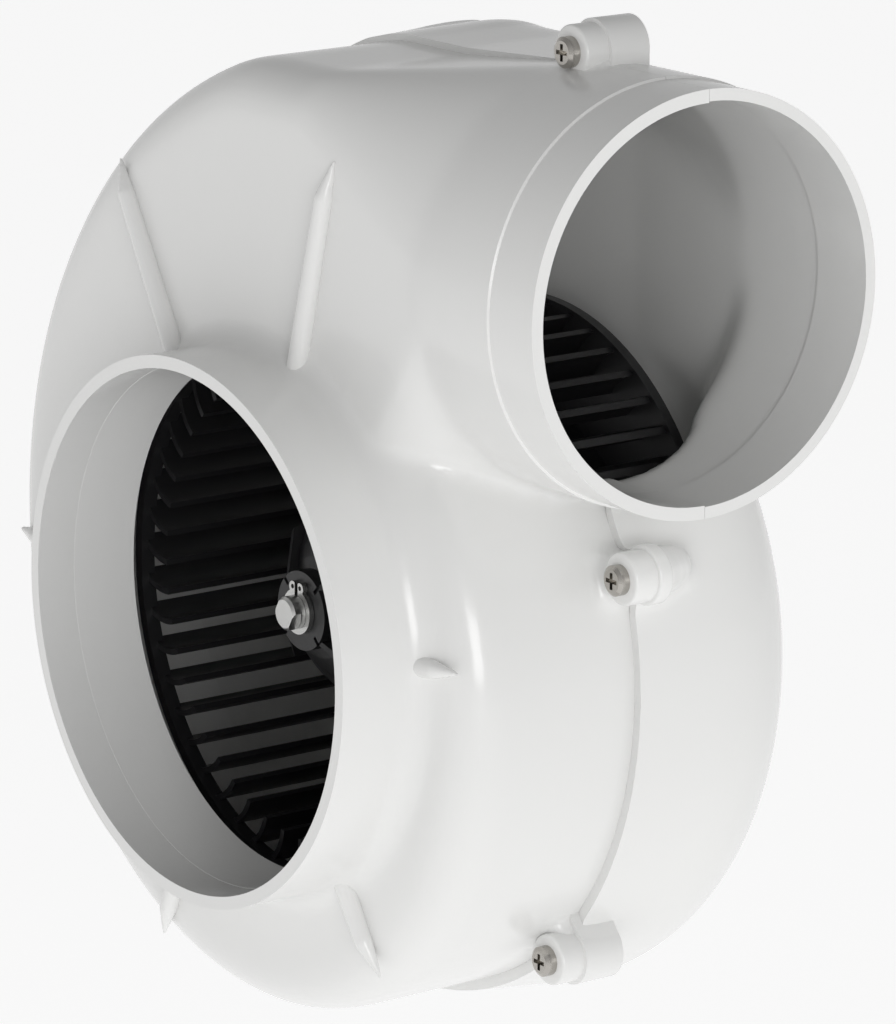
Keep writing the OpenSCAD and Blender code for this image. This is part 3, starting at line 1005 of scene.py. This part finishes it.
@dataclass
class Studio:
    """The floor, the light and the camera, in metres and watts.

    The camera stands at eye and looks against the direction back.
    """

    eye: tuple[float, float, float] = (0.8407, -0.5543, 0.2774)
    back: tuple[float, float, float] = (0.7818, -0.5719, 0.2489)
    lens: float = 201.9
    shift: tuple[float, float] = (-0.0028, 0.0198)
    sensor: float = 36.0
    clip: tuple[float, float] = (0.05, 40.0)
    floor_z: float = -0.34
    floor_size: float = 16.0
    floor_tone: float = 0.95
    floor_glow: float = 0.58
    floor_roughness: float = 0.9
    horizon: float = 0.72
    zenith: float = 0.22
    zenith_height: float = 0.9
    lamp_place: tuple[float, float, float] = (1.75, -0.75, 0.26)
    lamp_aim: tuple[float, float, float] = (0.0, 0.05, 0.02)
    lamp_power: float = 8.5
    lamp_size: float = 0.7

    def camera(self) -> None:
        """Sets the camera up."""
        Bench.clear()
        bpy.ops.object.camera_add(location=self.eye)
        camera = bpy.context.object
        camera.name = "camera"
        camera.rotation_mode = "QUATERNION"
        camera.rotation_quaternion = (-Vector(self.back)).to_track_quat("-Z", "Y")
        camera.data.sensor_width = self.sensor
        camera.data.lens = self.lens
        camera.data.shift_x, camera.data.shift_y = self.shift
        camera.data.clip_start, camera.data.clip_end = self.clip
        bpy.context.scene.camera = camera

    def floor(self) -> None:
        """Lays the pale floor, which glows a little so that it lights the blower from below."""
        Bench.clear()
        bpy.ops.mesh.primitive_plane_add(size=self.floor_size, location=(0, 0, self.floor_z))
        floor = bpy.context.object
        floor.name = "floor"
        paint = bpy.data.materials.new("Pale floor")
        paint.use_nodes = True
        shader = paint.node_tree.nodes["Principled BSDF"]
        shader.inputs["Base Color"].default_value = (*(self.floor_tone,) * 3, 1)
        shader.inputs["Emission Color"].default_value = (1, 1, 1, 1)
        shader.inputs["Emission Strength"].default_value = self.floor_glow
        shader.inputs["Roughness"].default_value = self.floor_roughness
        floor.data.materials.append(paint)

    def lamp(self) -> None:
        """Hangs the soft lamp at the outlet's side, facing the blower."""
        Bench.clear()
        bpy.ops.object.light_add(type="AREA", location=self.lamp_place)
        lamp = bpy.context.object
        lamp.name = "key"
        lamp.data.energy = self.lamp_power
        lamp.data.size = self.lamp_size
        aim = Vector(self.lamp_aim) - Vector(self.lamp_place)
        lamp.rotation_mode = "QUATERNION"
        lamp.rotation_quaternion = aim.to_track_quat("-Z", "Y")

    def sky(self) -> None:
        """Makes a sky that is pale at the horizon and darker overhead."""
        world = bpy.data.worlds.new("Studio")
        world.use_nodes = True
        nodes, link = world.node_tree.nodes, world.node_tree.links.new
        backdrop = nodes["Background"]
        backdrop.inputs["Color"].default_value = (1, 1, 1, 1)
        place = nodes.new("ShaderNodeTexCoord")
        height = nodes.new("ShaderNodeSeparateXYZ")
        link(place.outputs["Generated"], height.inputs["Vector"])
        fade = nodes.new("ShaderNodeMapRange")
        link(height.outputs["Z"], fade.inputs["Value"])
        fade.inputs["From Min"].default_value = 0.0
        fade.inputs["From Max"].default_value = self.zenith_height
        fade.inputs["To Min"].default_value = self.horizon
        fade.inputs["To Max"].default_value = self.zenith
        link(fade.outputs["Result"], backdrop.inputs["Strength"])
        bpy.context.scene.world = world

    def build(self) -> None:
        """Builds the whole studio."""
        self.camera()
        self.floor()
        self.sky()
        self.lamp()
        bpy.context.scene.view_settings.view_transform = "Standard"


@dataclass
class Dresser:
    """Gives every shown CAD node its finish."""

    frame: dict
    made: dict[str, bpy.types.Material] = field(default_factory=dict)

    def material(self, slot: str) -> bpy.types.Material:
        """Returns a slot's material, built at its first use.

        Args:
            slot: The record's material slot.

        Returns:
            The material.
        """
        if slot not in self.made:
            self.made[slot] = FINISHES[slot].material()
        return self.made[slot]

    def nodes(self) -> None:
        """Assigns the finishes to the CAD nodes."""
        slots = {row["node"]: row["material_slot"] for row in self.frame["record"]["subparts"]}
        for name, node in self.frame["nodes"].items():
            finish = self.material(slots[name])
            if not node.material_slots:
                node.data.materials.append(finish)
            for place in node.material_slots:
                place.material = finish
            log.info("node %s takes %s", name, finish.name)

    def piece(self, piece: bpy.types.Object, slot: str, body: str, *nodes: str) -> None:
        """Finishes a modelled piece and ties it to its body.

        Args:
            piece: The object.
            slot: The record's material slot.
            body: The body it moves with.
            *nodes: The CAD nodes that it stands for.
        """
        piece.data.materials.clear()
        piece.data.materials.append(self.material(slot))
        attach(piece, body)
        if nodes:
            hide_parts(*nodes)
        log.info("piece %s: %d faces", piece.name, len(piece.data.polygons))


def main() -> None:
    """Builds the dressed blower and its studio."""
    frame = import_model()
    dresser = Dresser(frame)
    dresser.nodes()
    for half, node in ((Half.FRONT, "front_housing"), (Half.REAR, "rear_housing")):
        dresser.piece(Shell(half).build(), "white_shell", "housing", node)
    Studio().build()


if __name__ == "__main__":
    logging.basicConfig(level=logging.INFO, format="%(name)s: %(message)s")
    main()
